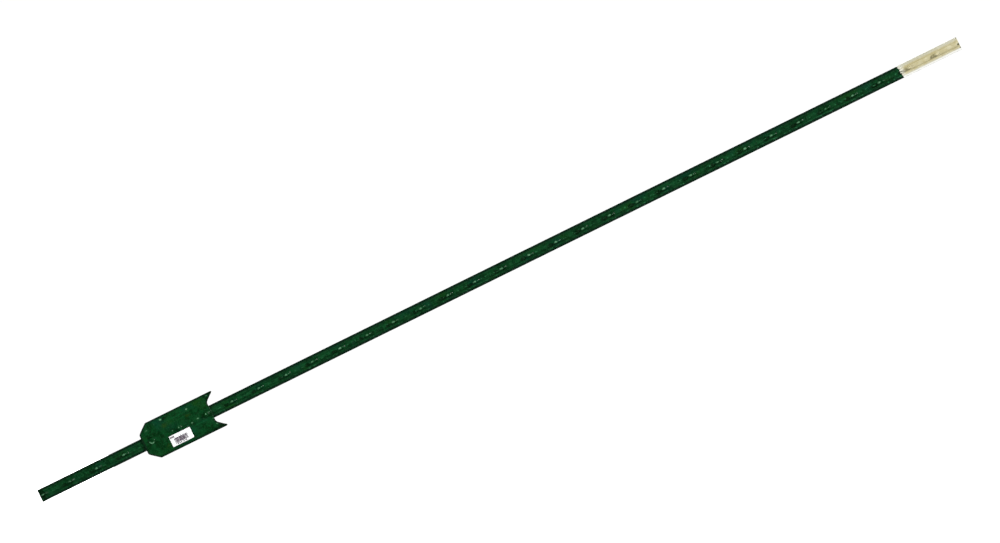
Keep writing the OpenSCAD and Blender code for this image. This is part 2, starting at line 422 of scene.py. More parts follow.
def label_paper():
    """White coated paper with a generic bar code, and dashes in place of digits and words."""
    g = Graph("label_paper")
    place = g.add("ShaderNodeAttribute", attribute_name="label_mm").outputs["Vector"]
    split = g.add("ShaderNodeSeparateXYZ", {"Vector": place})
    along, across = split.outputs["X"], split.outputs["Y"]

    def inside(value, low, high, soft=0.12):
        """1 where value is between low and high."""
        rise = g.ramp(value, low - soft, low + soft)
        fall = g.ramp(value, high - soft, high + soft, 1.0, 0.0)
        return g.math("MULTIPLY", rise, fall)

    def cells(value, size, seed):
        """A random number for each stretch of value that is size long."""
        index = g.math("FLOOR", g.math("DIVIDE", value, size))
        seeded = g.math("ADD", index, seed)
        white = g.add("ShaderNodeTexWhiteNoise", {"W": seeded}, noise_dimensions="1D")
        return white.outputs["Value"]

    def on_patch(ink, patch):
        """ink inside a patch, and nothing outside it."""
        inside_patch = g.math("MULTIPLY", inside(along, *patch[:2]), inside(across, *patch[2:]))
        return g.math("MULTIPLY", ink, inside_patch)

    def dashes(size, seed, gaps):
        """Ink in random cells along the label, but for a share of gaps."""
        return g.math("GREATER_THAN", cells(along, size, seed), gaps)

    # The code's bars stand closest in its middle, and gather in wide strokes
    wave = g.math("MULTIPLY", g.math("SUBTRACT", along, 16.1), 2 * math.pi / 5.9)
    strokes = g.math("MULTIPLY", g.math("SINE", wave), 0.12)
    middle = g.math("MULTIPLY", g.ramp(along, 14.5, 19.0), g.ramp(along, 31.0, 38.0, 1.0, 0.0))
    density = g.math("MULTIPLY", middle, g.math("ADD", 0.22, strokes))
    density = g.math("ADD", 0.76, density)
    uneven = g.math("SUBTRACT", cells(along, BAR_STEP, 3.0), 0.5)
    width = g.math("ADD", density, g.math("MULTIPLY", uneven, 0.5))
    bars = g.math("LESS_THAN", g.math("FRACT", g.math("DIVIDE", along, BAR_STEP)), width)
    lines = g.math("GREATER_THAN", g.math("FRACT", g.math("DIVIDE", across, LINE_STEP)), 0.2)
    words = g.math("MULTIPLY", dashes(LETTER_STEP, 77.0, 0.12), lines)
    ink = on_patch(bars, CODE_PATCH)
    for printed, patch in (
        (dashes(DIGIT_STEP, 41.0, 0.28), DIGITS_PATCH),
        (dashes(LETTER_STEP, 12.0, 0.5), HEADER_PATCH),
        (words, WORDS_PATCH),
    ):
        ink = g.math("MAXIMUM", ink, on_patch(printed, patch))

    fibres = g.noise(g.place(), 900.0, 3.0, 0.6)
    paper = g.mix(g.ramp(fibres, 0.3, 0.7), rgb(0.88, 0.89, 0.89), rgb(0.95, 0.96, 0.95))
    ink_colour = g.mix(g.ramp(fibres, 0.35, 0.65), rgb(0.05, 0.035, 0.05), rgb(0.12, 0.09, 0.12))
    colour = g.mix(ink, paper, ink_colour)
    colour = g.tint(colour, g.attribute("edge"), 0.4, rgb(0.42, 0.46, 0.40))
    roughness = g.ramp(fibres, 0.3, 0.7, 0.42, 0.55)
    normal = g.bump(fibres, 0.2, 0.05)
    normal = g.bump(g.noise(g.place(), 90.0, 2.0, 0.5), 0.25, 0.4, normal)
    return g.finish(Base_Color=colour, Roughness=roughness, Normal=normal)


def floor_paint():
    """Plain white studio floor that glows, so that the shadow on it stays faint."""
    g = Graph("studio_floor")
    cloud = g.noise(g.place(), 1.3, 3.0, 0.5)
    colour = g.mix(g.ramp(cloud, 0.3, 0.7), rgb(0.9, 0.9, 0.9), rgb(0.93, 0.93, 0.93))
    return g.finish(
        Base_Color=colour,
        Roughness=g.ramp(cloud, 0.3, 0.7, 0.75, 0.85),
        Emission_Color=colour,
        Emission_Strength=1.0,
    )


BAR_GREEN = green_enamel(
    "bar_enamel",
    deep=rgb(0.0010, 0.021, 0.0048),
    mid=rgb(0.0028, 0.046, 0.0112),
    light=rgb(0.009, 0.084, 0.028),
    edge_shade_colour=rgb(0.0014, 0.0105, 0.0048),
    gloss=0.22,
    shine=0.18,
)
PLATE_GREEN = green_enamel(
    "plate_enamel",
    deep=rgb(0.0006, 0.021, 0.0033),
    mid=rgb(0.0017, 0.0425, 0.0092),
    light=rgb(0.005, 0.083, 0.023),
    edge_shade_colour=rgb(0.004, 0.013, 0.007),
    gloss=0.26,
    shine=0.16,
)
CREAM = cream_paint()
BARE_STEEL = sheared_steel()
LABEL_PAPER = label_paper()


# ---------------------------------------------------------------- the T section


def front_line(x):
    """The section's front at x: a raised rib, a groove beside it, and edges that fall back."""
    x = np.abs(np.asarray(x, float))
    rib = RIB_FRONT + 0.1 * (x / RIB_TOP_HALF) ** 2
    groove = FLANGE_FRONT + GROOVE_DEPTH
    y = rib + (groove - rib) * smoothstep(RIB_TOP_HALF, RIB_HALF + 0.5, x)
    y = y - GROOVE_DEPTH * smoothstep(RIB_HALF + 0.4, RIB_HALF + 2.6, x)
    return y + 0.3 * smoothstep(8.0, 12.5, x) + 0.65 * smoothstep(FLANGE_HALF - 4.2, FLANGE_HALF, x)


# Where the section has points across its front, from its middle to near the flange's edge
FRONT_STOPS = (
    (0.0, 0.7, 1.4, 2.0, 2.6, 3.15, 3.65, 4.1, 4.5, 4.9)
    + (5.3, 5.8, 6.4, 7.1, 7.9, 8.8, 9.8, 11.0, 12.2, 13.5)
)


def half_section():
    """Points round the +X half of the section, from the front's middle to the web's edge."""
    points = [(x, float(front_line(x))) for x in FRONT_STOPS]

    # The flange's rounded edge
    edge_x = FLANGE_HALF - EDGE_RADIUS
    edge_front = float(front_line(edge_x))
    middle = (edge_front + FLANGE_BACK_EDGE) / 2
    half_thick = (FLANGE_BACK_EDGE - edge_front) / 2
    for i in range(7):
        a = math.radians(-90 + 30 * i)
        points.append((edge_x + EDGE_RADIUS * math.cos(a), middle + half_thick * math.sin(a)))

    # The flange's back, and the fillet between it and the web
    root_x = WEB_ROOT_HALF + ROOT_FILLET
    for i in (1, 2):
        t = i / 3
        y = FLANGE_BACK_EDGE + (FLANGE_BACK_ROOT - FLANGE_BACK_EDGE) * t
        points.append((edge_x + (root_x - edge_x) * t, y))
    for i in range(6):
        a = math.radians(270 - 18 * i)
        y = FLANGE_BACK_ROOT + ROOT_FILLET * (1 + math.sin(a))
        points.append((root_x + ROOT_FILLET * math.cos(a), y))

    # The web's side, and its rounded edge
    web_start = FLANGE_BACK_ROOT + ROOT_FILLET
    web_end = WEB_TIP - WEB_TIP_HALF
    for i in (1, 2, 3):
        t = i / 3
        x = WEB_ROOT_HALF + (WEB_TIP_HALF - WEB_ROOT_HALF) * t
        points.append((x, web_start + (web_end - web_start) * t))
    for i in (1, 2, 3):
        a = math.radians(30 * i)
        points.append((WEB_TIP_HALF * math.cos(a), web_end + WEB_TIP_HALF * math.sin(a)))
    return points


def section():
    """The closed section: x and y of each point, and the direction that is outwards there."""
    half = half_section()
    mirrored = [(-x, y) for x, y in half[1:-1]][::-1]
    ring = np.array(half + mirrored)
    ring[:, 0][np.abs(ring[:, 0]) < 1e-9] = 0.0
    along = np.roll(ring, -1, axis=0) - np.roll(ring, 1, axis=0)
    outwards = np.stack([along[:, 1], -along[:, 0]], axis=1)
    outwards /= np.linalg.norm(outwards, axis=1)[:, None]
    return ring, outwards


RING, OUTWARDS = section()


# ---------------------------------------------------------------- studs

# height and shift are the stud's middle along and across the post. size is a factor for its length,
# width and height, lean is its slant, and the last are the painted highlights on it,
# which are painted shade on the cream coat.
Stud = namedtuple("Stud", "height shift size lean rubs")


def stud_places():
    """The studs that the rolls made, but for those in the rivets' places."""
    dice = random.Random(11)
    places = []
    k = 0
    while FIRST_STUD + k * STUD_PITCH + STUD_HALF_LENGTH <= LENGTH:
        height = FIRST_STUD + k * STUD_PITCH
        shift = dice.uniform(-0.25, 0.25)
        size = (dice.uniform(0.96, 1.0), dice.uniform(0.94, 1.0), dice.uniform(0.92, 1.0))
        lean = dice.uniform(-0.05, 0.05)
        # Painted highlights on the stud's upper slope and top, where the light catches it
        slope_z = height - 3.4 + dice.uniform(-1.2, 1.2)
        slope_painted_light = (slope_z, shift - 0.2, 4.8, 2.9, dice.uniform(0.65, 0.98))
        top_z = height + 5.4 + dice.uniform(-1.0, 1.0)
        top_painted_light = (top_z, shift - 0.6, 1.8, 1.8, dice.uniform(0.0, 0.5))
        if min(abs(height - r) for r in RIVET_HEIGHTS) > STUD_PITCH / 2:
            places.append(Stud(height, shift, size, lean, (slope_painted_light, top_painted_light)))
        k += 1
    return places


STUDS = stud_places()


def stud_marks(up, across, half_long, half_wide, strength):
    """The same soft mark at each stud, with its centre that far from the stud's middle."""
    return [(s.height + up, s.shift + across, half_long, half_wide, strength) for s in STUDS]


def stud_shape(x, z):
    """How far the studs stand out at each x and z, and how close that is to their tops' rims."""
    out = np.zeros(np.broadcast(x, z).shape)
    rim = np.zeros_like(out)
    for height, shift, (longer, wider, taller), lean, _ in STUDS:
        near = np.abs(z - height) < STUD_HALF_LENGTH + 1.0
        if not near.any():
            continue
        v = (z - height) / (STUD_HALF_LENGTH * longer)
        u = (x - shift - lean * (z - height)) / (STUD_HALF_WIDTH * wider)
        r = (np.abs(u) ** 2.8 + np.abs(v) ** 2.8) ** (1 / 2.8)
        top = 1.0 - 0.08 * np.clip(r, 0, 1) ** 2
        h = STUD_HEIGHT * taller * (1.0 - smoothstep(0.36, 1.0, r)) * top
        out = np.where(near, np.maximum(out, h), out)
        rim = np.where(near, np.maximum(rim, bell(r, 0.5, 0.14)), rim)
    return out, rim


# Heights of the rings over a stud's upper half from its middle, and of those in the painted shadow
# under it
STUD_RINGS = (1.1, 2.3, 3.4, 4.5, 5.4, 6.2, 7.0, 7.8, 8.6, 9.4, 10.2, 11.0, 12.0)
SHADOW_RINGS = (-24.0, -21.0, -18.0, -15.0)
RINGS_BETWEEN = 3


def post_rows(low, high):
    """Heights of the rings between low and high: close together over each stud, wider between."""
    near = [*SHADOW_RINGS, *(-h for h in STUD_RINGS[::-1]), 0.0, *STUD_RINGS]
    gap = STUD_PITCH + near[0] - near[-1]
    rows = {low, high}
    centre = FIRST_STUD
    while centre < high + STUD_PITCH:
        rows.update(centre + offset for offset in near)
        for i in range(1, RINGS_BETWEEN + 1):
            rows.add(centre + near[-1] + gap * i / (RINGS_BETWEEN + 1))
        centre += STUD_PITCH
    return np.array(sorted(r for r in rows if low <= r <= high))


SKIN_SEED = 3

# Between these heights the painted stud shadows and crest highlights grow stronger
HARSH_FROM = 700.0
HARSH_TO = 1700.0


def skin(rows, grow):
    """Rings of the bar's skin at the given heights, made larger by grow, and its facts."""
    n, m = len(rows), len(RING)
    z = np.repeat(rows, m)
    x = np.tile(RING[:, 0], n)
    y = np.tile(RING[:, 1], n)
    normal = np.tile(OUTWARDS, (n, 1))
    over_rib = (np.abs(x) < STUD_HALF_WIDTH + 1.2) & (y < FLANGE_FRONT)
    stud, rim = stud_shape(x, z)
    stud, rim = np.where(over_rib, stud, 0.0), np.where(over_rib, rim, 0.0)

    # Rolling leaves the skin slightly wavy, in waves that are longer along the post
    wave = 0.11 * wobble(stacked(x, y, z / 6.0), 9.0, SKIN_SEED)
    wave = wave + 0.05 * wobble(stacked(x, y, z), 3.5, SKIN_SEED + 1)
    swell = grow + wave * (1.0 - 0.5 * (stud > 0))
    x = x + normal[:, 0] * swell
    y = y + normal[:, 1] * swell - stud

    # Painted shade: darker bands along the flange's edges and the web's edge
    from_middle = np.abs(x) * (y < FLANGE_BACK_EDGE + 1.0)
    edge = smoothstep(FLANGE_HALF - 7.6, FLANGE_HALF - 4.6, from_middle)
    edge = np.maximum(edge, smoothstep(WEB_TIP - 3.0, WEB_TIP - 0.5, y))
    ahead = y < FLANGE_FRONT + 1.0
    on_face = ahead & (stud < 0.2)
    # Painted shade: in the grooves beside the rib, on the rib's +X shoulder and round each stud's
    # foot
    groove = bell(np.abs(x), RIB_HALF + 0.1, 1.1) * on_face
    shaded_side = bell(x, 4.6, 1.4) * on_face
    stud_foot = bell(rim, 0.0, 0.1) * (stud > 0.02) * (stud < 1.6)
    ends = np.maximum(smoothstep(7.0, 0.0, z), smoothstep(LENGTH - 5.0, LENGTH, z))
    rubs = [mark for stud_place in STUDS for mark in stud_place.rubs]

    # A painted shadow under each stud, where its cast shadow falls, and darker marks at the flange's
    # edges beside it
    harsh = smoothstep(HARSH_FROM, HARSH_TO, z)
    stud_shadow = spots(x, z, stud_marks(-18.0, 1.5, 6.4, 4.4, 1.2))
    beside = spots(np.zeros_like(x), z, [(s.height - 8.0, 0.0, 8.0, 1.0, 0.55) for s in STUDS])
    beside = beside * smoothstep(8.5, 11.0, np.abs(x))

    # Painted highlights along the rib's crest and beside the flange's +X edge
    crest_highlight = bell(x, 0.1, 1.7) + 0.8 * bell(x, 9.6, 1.2)
    face = smoothstep(FLANGE_HALF - 0.1, FLANGE_HALF - 1.2, np.abs(x))
    facts = {
        "edge": edge,
        "groove": np.maximum(np.maximum(groove, 0.6 * shaded_side), 0.8 * stud_foot),
        "wear": np.clip(0.6 * rim + 0.6 * ends + 0.35 * smoothstep(0.9, 1.0, edge), 0.0, 1.0),
        "rub": spots(x, z, rubs) * (stud > 0.3),
        "crest_highlight": crest_highlight * on_face * (1.0 + 0.8 * harsh),
        "dirt_and_shade": np.maximum(stud_shadow * (1.0 + 0.6 * harsh), beside) * ahead,
        "face": face * smoothstep(FLANGE_BACK_ROOT + 5.0, FLANGE_BACK_ROOT, y),
    }
    return stacked(x, y, z), facts


# ---------------------------------------------------------------- the bar

# The height of the ring that the shear draws in at each end, and how far in it goes
SHEARED_EDGE = 0.6
SHEARED_INSET = 0.45


def make_bar():
    """The rolled bar: one closed skin from end to end, with two sheared ends of bare steel."""
    rows = post_rows(0.0, LENGTH)
    rows = np.unique(np.concatenate([rows, [SHEARED_EDGE, LENGTH - SHEARED_EDGE]]))
    points, facts = skin(rows, 0.0)
    z = points[:, 2]
    # Darker at the foot end, and a little darker up to about 290 mm from the foot
    at_foot = 1.3 * smoothstep(14.0, 6.0, z) + 0.36 * smoothstep(290.0, 190.0, z)
    facts["dirt_and_shade"] = np.maximum(facts["dirt_and_shade"], at_foot)

    # The shear leaves each end's outline a little smaller
    m = len(RING)
    for row, z_end in ((0, 0.0), (len(rows) - 1, LENGTH)):
        at = slice(row * m, (row + 1) * m)
        points[at, :2] -= OUTWARDS * SHEARED_INSET
        points[at, 2] = z_end

    faces = tube_faces(len(rows), m)
    bar = add_mesh("t_post_bar_rolled", points, faces, BAR_GREEN, attributes=facts)
    cap_ends(bar, m, len(rows))
    return bar


def cap_ends(bar, ring, rows):
    """Closes both ends of the bar with flat faces of bare steel."""
    mesh = bmesh.new()
    mesh.from_mesh(bar.data)
    mesh.verts.ensure_lookup_table()
    bar.data.materials.append(BARE_STEEL)
    for start, turn in ((0, -1), ((rows - 1) * ring, 1)):
        corners = [mesh.verts[start + i] for i in range(ring)][::turn]
        face = mesh.faces.new(corners)
        face.material_index = 1
        face.smooth = False
    mesh.to_mesh(bar.data)
    mesh.free()


# ---------------------------------------------------------------- the cream top

# Dark marks on the coat's front, dirt at its lower edge and top end and painted shadows at the
# studs: (z, x, half length, half width, strength)
COAT_DIRT_AND_SHADE = (
    (TIP_LOW[2] + 1.0, 0.3, 3.0, 2.2, 1.0),
    (TIP_LOW[2] + 14.5, 1.0, 2.6, 2.2, 0.5),
    (TIP_LOW[2] + 78.0, 0.5, 3.6, 2.8, 0.6),
    (TIP_LOW[2] + 90.0, 2.2, 4.0, 2.0, 0.45),
    (LENGTH - 2.5, 1.2, 3.2, 3.0, 1.1),
    (LENGTH - 1.5, 10.0, 2.5, 2.2, 0.9),
    (LENGTH - 1.0, -14.0, 3.0, 2.0, 0.7),
)

# How far the coat's inside reaches into the bar, how far up its lower edge wanders, and its runs
COAT_OVERLAP = 0.15
LIP_HEIGHT = 9.0
RUNS = 6


def make_tip_coat():
    """The dipped coat: a thin closed sleeve round the bar's top, with runs at its lower edge."""
    base = TIP_LOW[2]
    rows = post_rows(base + LIP_HEIGHT, LENGTH)
    rows = np.concatenate([[base, base + 1.2, base + 2.6, base + 4.4, base + 6.6], rows])
    n, m = len(rows), len(RING)
    outer, facts = skin(rows, COAT)
    inner, _ = skin(rows, -COAT_OVERLAP)

    # The lower edge wanders, and has a few runs where paint crept down the post
    turn = np.arange(m) * 2 * math.pi / m
    circle = np.stack([np.cos(turn) * 10, np.sin(turn) * 10, np.zeros(m)], axis=1)
    drop = 1.2 * wobble(circle, 4.5, 21) + 0.9 * wobble(circle, 1.6, 22) - 1.6
    dice = random.Random(5)
    for _ in range(RUNS):
        at = dice.uniform(0, 2 * math.pi)
        gap = np.abs((turn - at + math.pi) % (2 * math.pi) - math.pi)
        drop -= dice.uniform(1.5, 4.5) * np.exp(-((gap / 0.16) ** 2))
    drop = np.tile(drop, n) * (1.0 - smoothstep(0.0, LIP_HEIGHT, outer[:, 2] - base))
    outer[:, 2] += drop
    inner[:, 2] += drop

    # The coat thins to nothing at its lower edge
    lip = slice(0, m)
    outer[lip] = 0.35 * outer[lip] + 0.65 * inner[lip]

    # Painted highlight: its +X edge is painted pale on the front, where the light catches it.
    # Painted shade darkens the studs' upper ends
    x, y, z = outer.T
    above = z - base
    on_front = y < FLANGE_BACK_EDGE - 0.2
    faces_front = smoothstep(FLANGE_FRONT + 1.85, FLANGE_FRONT + 1.0, y)
    stud_end_shade = spots(x, z, stud_marks(7.0, -0.8, 3.0, 3.0, 0.35))
    facts["fresh"] = 1.0 - smoothstep(2.0, 11.0, above)
    facts["pale"] = smoothstep(FLANGE_HALF - 6.4, FLANGE_HALF - 1.6, x) * faces_front
    facts["dirt_and_shade"] = spots(x, z, COAT_DIRT_AND_SHADE) * on_front
    facts["rub"] = np.maximum(facts["rub"], stud_end_shade * (y < RIB_FRONT - COAT - 0.3))
    facts["wear"] = np.where(above > 20.0, facts["wear"], 0.25 * facts["wear"])

    count = n * m
    faces = tube_faces(n, m)
    faces += [tuple(i + count for i in f) for f in tube_faces(n, m, flip=True)]
    top = (n - 1) * m
    for j in range(m):
        k = (j + 1) % m
        faces.append((j, j + count, k + count, k))
        faces.append((top + k, top + k + count, top + j + count, top + j))
    both = np.concatenate([outer, inner])
    facts = {key: np.tile(value, 2) for key, value in facts.items()}
    return add_mesh("white_tip_paint", both, faces, CREAM, attributes=facts)


# ---------------------------------------------------------------- the anchor plate

PLATE_HALF = PLATE_HIGH[0]
PLATE_FOOT = PLATE_LOW[2]
PLATE_TOP = PLATE_HIGH[2]
PLATE_THICK = RIB_FRONT - PLATE_FRONT
PLATE_FOOT_HALF = 25.5
CHAMFER_HEIGHT = 24.6
EAR_HEIGHT = 21.5
EAR_TIP_WIDTH = 2.2
EAR_SLOPE = math.radians(49)
WING_START = PLATE_HALF - 6.5
WING_ANGLE = math.radians(25)


def eased_max(a, b, width):
    """The larger of a and b, with the corner between them rounded over about width."""
    h = np.clip(0.5 + 0.5 * (a - b) / width, 0.0, 1.0)
    return b + (a - b) * h + width * h * (1.0 - h)


def plate_low(x):
    """The plate's lower edge at x: a flat foot and two chamfers."""
    x = np.abs(x)
    chamfer = (x - PLATE_FOOT_HALF) * CHAMFER_HEIGHT / (PLATE_HALF - PLATE_FOOT_HALF)
    return PLATE_FOOT + eased_max(chamfer, np.zeros_like(x), 4.0)


def plate_high(x):
    """The plate's upper edge at x: a flat stretch behind which the post runs on, and two ears."""
    x = np.abs(x)
    past_tip = np.maximum(0.0, x - (PLATE_HALF - EAR_TIP_WIDTH))
    ear_line = (x - (PLATE_HALF - EAR_TIP_WIDTH)) * math.tan(EAR_SLOPE) + EAR_HEIGHT
    body = PLATE_TOP - EAR_HEIGHT
    rise = eased_max(ear_line, np.zeros_like(x), 5.0)
    return body + np.minimum(rise, EAR_HEIGHT - past_tip)


def plate_front(x, z):
    """The plate's front face: flat, pressed up over the rib, with the side strips bent back."""
    ax = np.abs(x)
    bend = eased_max(ax - WING_START, np.zeros_like(ax), 2.2) * math.tan(WING_ANGLE)
    over_rib = 0.75 * (1.0 - smoothstep(RIB_HALF - 1.5, RIB_HALF + 2.5, ax))
    over_rib = over_rib * smoothstep(PLATE_FOOT + 4.0, PLATE_FOOT + 40.0, z)
    ears = smoothstep(PLATE_TOP - EAR_HEIGHT - 6.0, PLATE_TOP, z) * smoothstep(24.0, PLATE_HALF, ax)
    place = stacked(x, np.zeros_like(x), z)
    dents = 0.28 * wobble(place, 42.0, 31) + 0.09 * wobble(place, 13.0, 32)
    return PLATE_FRONT + bend - over_rib + 1.1 * ears + dents.reshape(x.shape)


# Marks on the plate: pale rubs and painted highlights, rubs on its back, dark marks of dirt with
# painted shade on the ears and beside the pressed rib, and stains: (height above its foot, x, half
# length, half width, strength)
PLATE_RUBS_AND_HIGHLIGHTS = (
    (61.2, -36.7, 3.6, 2.4, 1.05),
    (128.2, -32.0, 3.2, 2.2, 0.75),
    (18.2, -27.5, 5.0, 2.2, 0.55),
    (76.2, -0.5, 2.4, 1.8, 0.75),
    (126.2, 3.6, 3.0, 2.2, 0.8),
    (143.2, 0.0, 3.2, 2.2, 0.85),
    (174.2, -2.4, 2.6, 2.0, 0.7),
    (176.2, 16.0, 2.2, 1.8, 0.6),
    (179.2, 31.0, 2.4, 2.0, 0.7),
    (42.2, -33.0, 2.0, 1.6, 0.55),
    (184.7, -40.5, 2.6, 2.2, 0.6),
)
PLATE_BACK_RUBS = (
    (42.2, 31.0, 4.5, 2.4, 0.8),
    (96.2, -29.0, 2.6, 2.0, 0.6),
    (160.2, 26.0, 3.4, 2.2, 0.7),
)
PLATE_DIRT_AND_SHADE = (
    (71.2, -36.5, 8.0, 4.0, 0.8),
    (20.2, -8.0, 7.0, 6.0, 0.7),
    (94.2, 3.5, 15.0, 3.0, 0.8),
    (154.2, 3.0, 9.0, 3.0, 0.6),
    (108.2, -14.0, 5.0, 3.0, 0.45),
    (178.2, -39.5, 3.4, 3.4, 1.1),
    (183.2, -33.5, 5.0, 3.0, 1.1),
    (192.2, -43.0, 9.0, 5.0, 0.95),
    (188.2, 40.0, 11.0, 7.5, 1.0),
    (170.2, 42.0, 9.0, 4.5, 0.7),
    (161.2, -30.0, 15.0, 12.0, 0.42),
)
PLATE_STAINS = (
    (63.2, -21.0, 9.0, 8.0, 0.75),
    (124.2, -17.5, 9.0, 4.5, 0.8),
    (54.2, 27.0, 10.0, 7.0, 0.55),
)


def slant(line, x):
    """How much longer a sloping edge line is than its width, at each x."""
    return np.sqrt(1.0 + (np.gradient(line, axis=1) / np.gradient(x, axis=1)) ** 2)


def make_plate():
    """The pressed anchor plate: a closed sheet between its lower and upper edge lines."""
    side = [PLATE_HALF - d for d in (0.0, 0.9, 1.8, 2.8, 4.0, 5.2, 6.4)]
    right = np.concatenate([side, np.arange(38.4, 1.0, -1.25)])
    columns = np.concatenate([-right, [0.0], right[::-1]])
    steps = np.linspace(0.0, 1.0, 116)
    x = np.tile(columns, (len(steps), 1))
    low, high = plate_low(x), plate_high(x)
    z = low + (high - low) * steps[:, None]
    y = plate_front(x, z)
    slope = np.gradient(y, axis=1) / np.gradient(x, axis=1)
    across = PLATE_THICK / np.sqrt(1.0 + slope**2)
    back_x = np.clip(x - slope * across, -PLATE_HALF, PLATE_HALF)
    points = np.concatenate([stacked(x, y, z), stacked(back_x, y + across, z)])

    ax = np.abs(x)
    from_foot = (z - low) / slant(low, x)
    from_edge = np.minimum(PLATE_HALF - ax, np.minimum(from_foot, (high - z) / slant(high, x)))
    # Painted shade on the bent-back side strips, which face away from the light, and along the rim
    wing = smoothstep(WING_START - 0.5, WING_START + 2.5, ax)
    edge = np.maximum(0.55 * wing, 1.0 - smoothstep(1.8, 5.4, from_edge))
    wear = np.clip(1.0 - smoothstep(0.0, 2.0, from_edge), 0.0, 1.0) * 0.8

    # Where the upper edge lies on the bar it is whole, with less painted edge shade
    over_bar = smoothstep(19.0, 15.0, ax) * smoothstep(PLATE_TOP - 40.0, PLATE_TOP - 30.0, z)
    edge = edge * (1.0 - 0.7 * over_bar)
    wear = wear * (1.0 - 0.9 * over_bar)

    # Painted shade beside the pressed rib, round the label in front, and beside the bar behind
    groove = bell(ax, RIB_HALF + 1.0, 1.4) * 0.8
    groove = groove * smoothstep(PLATE_FOOT + 60.0, PLATE_FOOT + 110.0, z)
    label_x = np.maximum(np.maximum(LABEL_LOW[0] - x, x - LABEL_HIGH[0]), 0.0)
    label_z = np.maximum(np.maximum(LABEL_LOW[2] - z, z - LABEL_HIGH[2]), 0.0)
    label_shade = 0.85 - 0.28 * np.hypot(label_x, label_z)
    up = z - PLATE_FOOT
    dirt_and_shade = np.maximum(np.maximum(spots(x, up, PLATE_DIRT_AND_SHADE), label_shade), 0.0)
    facts = {
        "edge": (edge, edge),
        "groove": (groove, np.zeros_like(x)),
        "wear": (wear, wear),
        "dirt_and_shade": (dirt_and_shade, 0.75 * bell(ax, FLANGE_HALF + 1.0, 2.6)),
        "rub": (spots(x, up, PLATE_RUBS_AND_HIGHLIGHTS), spots(x, up, PLATE_BACK_RUBS)),
        "stain": (spots(x, up, PLATE_STAINS), spots(-x, up, PLATE_STAINS)),
        "face": (1.0 - 0.3 * wing, 0.55 - 0.35 * wing),
    }
    facts = {key: np.concatenate([pair[0].ravel(), pair[1].ravel()]) for key, pair in facts.items()}
    faces = closed_sheet_faces(*x.shape)
    plate = add_mesh("anchor_plate_pressed", points, faces, PLATE_GREEN, attributes=facts)
    round_edges(plate, 0.45, 50)
    return plate


# ---------------------------------------------------------------- rivets

SHANK_RADIUS = 4.6
RIVET_SIDES = 40
DOME_RINGS = 12
HEAD_BASE = PLATE_FRONT - 0.35
DOME_BASE = HEAD_BASE - 0.5

# Rings of the rivet's outline, counted from the shank's end
FIRST_HAMMERED_RING = 3
SHADED_RINGS = (2, 3)
WORN_RINGS = range(6, 13)


def rivet_profile(radius, dome, tail):
    """Radius and y of each ring, from the shank's end at tail up to the head's dome."""
    profile = [(SHANK_RADIUS, tail), (SHANK_RADIUS, HEAD_BASE + 0.2)]
    profile += [(radius * 0.93, HEAD_BASE + 0.25), (radius * 0.985, HEAD_BASE - 0.15)]
    profile += [(radius, DOME_BASE)]
    for i in range(1, DOME_RINGS):
        t = i / DOME_RINGS * math.pi / 2
        profile.append((radius * math.cos(t), DOME_BASE - dome * math.sin(t) ** 0.8))
    return profile


def make_rivet(name, box, seed, with_crescent):
    """One rivet: a shank through the plate, and a low head with the facets of the hammer on it."""
    low, high = box
    centre_z = (low[2] + high[2]) / 2
    radius = (high[0] - low[0]) / 2
    dome = DOME_BASE - low[1]
    profile = rivet_profile(radius, dome, high[1])
    points, wear, edge = [], [], []
    for k, (r, y) in enumerate(profile):
        hammered = 1.0 if k >= FIRST_HAMMERED_RING else 0.0
        for j in range(RIVET_SIDES):
            a = 2 * math.pi * j / RIVET_SIDES
            place = Vector((math.cos(a) * r, math.sin(a) * r, seed * 20.0))
            uneven = 1.0 + 0.035 * hammered * noise.noise(place / 4.0)
            facets = 0.32 * hammered * noise.noise(place / 3.2 + Vector((9.0, 2.0, 1.0)))
            x = math.cos(a) * min(r * uneven, radius)
            points.append((x, max(y + facets, low[1]), centre_z + math.sin(a) * r * uneven))
            wear.append(0.5 if k in WORN_RINGS else 0.0)
            edge.append(1.0 if k in SHADED_RINGS else 0.0)
    points.append((0.0, low[1], centre_z))
    wear.append(0.5)
    edge.append(0.0)

    faces = tube_faces(len(profile), RIVET_SIDES)
    last = (len(profile) - 1) * RIVET_SIDES
    for j in range(RIVET_SIDES):
        faces.append((last + j, last + (j + 1) % RIVET_SIDES, len(points) - 1))
    faces.append(tuple(range(RIVET_SIDES))[::-1])

    # Painted highlights: a pale crescent near the rim of the lowest rivet's head, and a pale dab on
    # top of the others
    place = np.array(points)
    x, z = place[:, 0], place[:, 2] - centre_z
    if with_crescent:
        turn = np.degrees(np.arctan2(z, x))
        crescent = bell(np.hypot(x, z) / radius, 0.74, 0.2)
        crescent = crescent * smoothstep(105.0, 45.0, np.abs(turn + 20.0))
        rub = (1.0 + 0.5 * wobble(place, 2.2, 51)) * crescent
    else:
        rub = spots(x, z, [(0.0, -0.9, 1.6, 2.4, 0.95)])
    rub = rub * (place[:, 1] < HEAD_BASE)
    facts = {"edge": edge, "wear": wear, "rub": rub, "face": np.full(len(points), 0.7)}
    return add_mesh(name, points, faces, PLATE_GREEN, attributes=facts)


# ---------------------------------------------------------------- the label

# Its corners' radius, its thickness, and how far one corner has come off the plate
LABEL_CORNER = 1.5
LABEL_THICK = 0.22
LABEL_LIFT = 1.3


